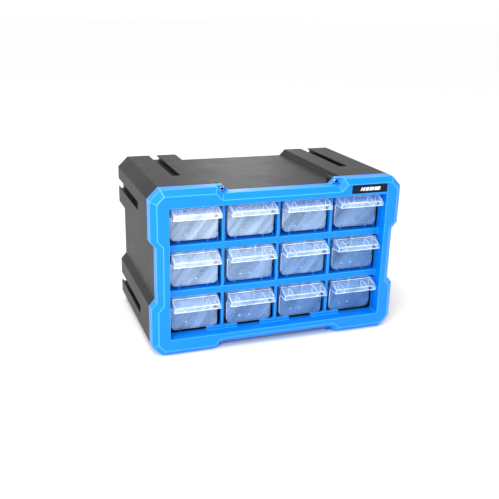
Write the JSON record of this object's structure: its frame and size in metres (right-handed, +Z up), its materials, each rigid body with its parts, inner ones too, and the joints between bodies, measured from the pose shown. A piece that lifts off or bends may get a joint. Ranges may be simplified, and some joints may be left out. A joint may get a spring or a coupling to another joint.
{
  "type": "small parts organizer cabinet",
  "caption": "Stackable small parts cabinet: black shell with edge slots, blue front frame and rows of clear pull-out drawers with hooded grips.",
  "frame": {"origin": "centre of the footprint, at the underside of the bottom pads", "axes": "+Z up, -Y the front with the drawers, +X to the right seen from the front"},
  "size_m": [0.38, 0.2326, 0.242],
  "materials": {
    "blue_moulding": "semi-gloss moulded polypropylene",
    "black_moulding": "fine spark-eroded texture",
    "inner_moulding": "satin moulded, the same blue as the frame seen in shade",
    "clear_drawer": "clear polystyrene with a faint blue cast",
    "badge": "gloss insert, no lettering",
    "screws": "zinc plated"
  },
  "bodies": {
    "cabinet": {"front_bezel": "blue_moulding", "cabinet_shell": "black_moulding", "badge_plate": "badge", "bezel_screws": "screws", "floor_panel": "black_moulding", "floor_rails": "black_moulding", "lower_shelf": "inner_moulding", "lower_shelf_rails": "inner_moulding", "upper_shelf": "inner_moulding", "upper_shelf_rails": "inner_moulding", "ceiling_panel": "inner_moulding", "ceiling_rails": "inner_moulding"},
    "drawer_r1_c1": {"drawer_r1_c1": "clear_drawer"},
    "drawer_r1_c2": {"drawer_r1_c2": "clear_drawer"},
    "drawer_r1_c3": {"drawer_r1_c3": "clear_drawer"},
    "drawer_r1_c4": {"drawer_r1_c4": "clear_drawer"},
    "drawer_r2_c1": {"drawer_r2_c1": "clear_drawer"},
    "drawer_r2_c2": {"drawer_r2_c2": "clear_drawer"},
    "drawer_r2_c3": {"drawer_r2_c3": "clear_drawer"},
    "drawer_r2_c4": {"drawer_r2_c4": "clear_drawer"},
    "drawer_r3_c1": {"drawer_r3_c1": "clear_drawer"},
    "drawer_r3_c2": {"drawer_r3_c2": "clear_drawer"},
    "drawer_r3_c3": {"drawer_r3_c3": "clear_drawer"},
    "drawer_r3_c4": {"drawer_r3_c4": "clear_drawer"}
  },
  "joints": [
    {"name": "drawer_r1_c1_slide", "type": "slide", "parent": "cabinet", "child": "drawer_r1_c1", "axis": [0, -1, 0], "range_m": [0, 0.165]},
    {"name": "drawer_r1_c2_slide", "type": "slide", "parent": "cabinet", "child": "drawer_r1_c2", "axis": [0, -1, 0], "range_m": [0, 0.165]},
    {"name": "drawer_r1_c3_slide", "type": "slide", "parent": "cabinet", "child": "drawer_r1_c3", "axis": [0, -1, 0], "range_m": [0, 0.165]},
    {"name": "drawer_r1_c4_slide", "type": "slide", "parent": "cabinet", "child": "drawer_r1_c4", "axis": [0, -1, 0], "range_m": [0, 0.165]},
    {"name": "drawer_r2_c1_slide", "type": "slide", "parent": "cabinet", "child": "drawer_r2_c1", "axis": [0, -1, 0], "range_m": [0, 0.165]},
    {"name": "drawer_r2_c2_slide", "type": "slide", "parent": "cabinet", "child": "drawer_r2_c2", "axis": [0, -1, 0], "range_m": [0, 0.165]},
    {"name": "drawer_r2_c3_slide", "type": "slide", "parent": "cabinet", "child": "drawer_r2_c3", "axis": [0, -1, 0], "range_m": [0, 0.165]},
    {"name": "drawer_r2_c4_slide", "type": "slide", "parent": "cabinet", "child": "drawer_r2_c4", "axis": [0, -1, 0], "range_m": [0, 0.165]},
    {"name": "drawer_r3_c1_slide", "type": "slide", "parent": "cabinet", "child": "drawer_r3_c1", "axis": [0, -1, 0], "range_m": [0, 0.165]},
    {"name": "drawer_r3_c2_slide", "type": "slide", "parent": "cabinet", "child": "drawer_r3_c2", "axis": [0, -1, 0], "range_m": [0, 0.165]},
    {"name": "drawer_r3_c3_slide", "type": "slide", "parent": "cabinet", "child": "drawer_r3_c3", "axis": [0, -1, 0], "range_m": [0, 0.165]},
    {"name": "drawer_r3_c4_slide", "type": "slide", "parent": "cabinet", "child": "drawer_r3_c4", "axis": [0, -1, 0], "range_m": [0, 0.165]}
  ]
}
